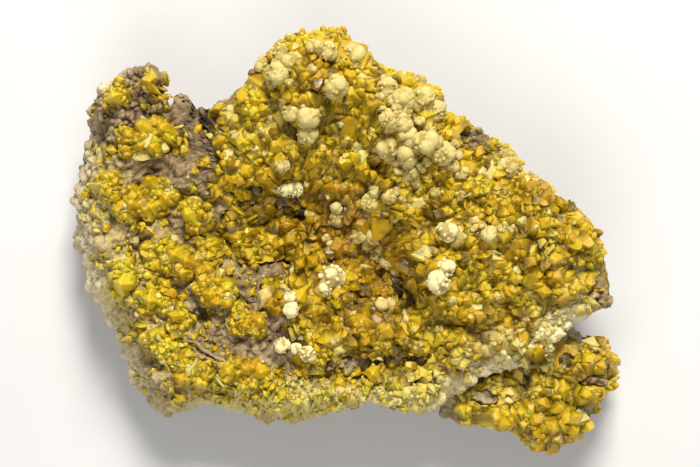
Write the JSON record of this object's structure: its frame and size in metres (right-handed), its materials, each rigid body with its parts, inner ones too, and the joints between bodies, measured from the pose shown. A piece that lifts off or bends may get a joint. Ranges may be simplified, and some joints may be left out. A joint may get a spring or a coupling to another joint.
{
  "type": "native sulfur crystal specimen",
  "caption": "Slab of grey-brown host rock whose face is crusted with golden sulfur crystals and cream nodules; a display specimen lying on its back.",
  "frame": {"origin": "on the surface it rests on, under the middle of the specimen's box", "axes": "+X to the right across the crystal face, +Y up it, +Z out of it, away from the surface it lies on"},
  "size_m": [0.332, 0.256, 0.0923],
  "materials": {
    "host_rock": "rough broken rock, grey-brown with pale and yellow powder",
    "sulfur": "translucent golden crystals with a resinous gloss",
    "cream_nodule": "matte, finely bumpy cream-yellow"
  },
  "bodies": {
    "root": {"matrix": "host_rock", "nodule_arete_high": "cream_nodule", "nodule_arete_low": "cream_nodule", "nodule_bottom": "cream_nodule", "nodule_centre": "cream_nodule", "nodule_chain_high": "cream_nodule", "nodule_chain_low": "cream_nodule", "nodule_crown": "cream_nodule", "nodule_crown_east": "cream_nodule", "nodule_east": "cream_nodule", "nodule_floor": "cream_nodule", "nodule_large": "cream_nodule", "nodule_low_west": "cream_nodule", "nodule_mid_high": "cream_nodule", "nodule_mid_west": "cream_nodule", "nodule_plateau": "cream_nodule", "nodule_ridge_foot": "cream_nodule", "nodule_ridge_main": "cream_nodule", "nodule_ridge_side": "cream_nodule", "nodule_ridge_top": "cream_nodule", "nodule_top_west": "cream_nodule", "nodule_upper": "cream_nodule", "nodule_upper_west": "cream_nodule", "sulfur_cluster_chain_high": "sulfur", "sulfur_cluster_chain_low": "sulfur", "sulfur_cluster_horn": "sulfur", "sulfur_cluster_horn_tip": "sulfur", "sulfur_cluster_left_bright": "sulfur", "sulfur_cluster_left_inner": "sulfur", "sulfur_cluster_left_large": "sulfur", "sulfur_cluster_left_rim": "sulfur", "sulfur_cluster_lower_left": "sulfur", "sulfur_cluster_lower_middle": "sulfur", "sulfur_cluster_lower_west": "sulfur", "sulfur_cluster_middle_inner": "sulfur", "sulfur_cluster_middle_left": "sulfur", "sulfur_cluster_upper_left": "sulfur", "sulfur_cluster_west": "sulfur", "sulfur_cluster_west_low": "sulfur", "sulfur_crust": "sulfur", "sulfur_crust_lobe": "sulfur"}
  },
  "joints": []
}
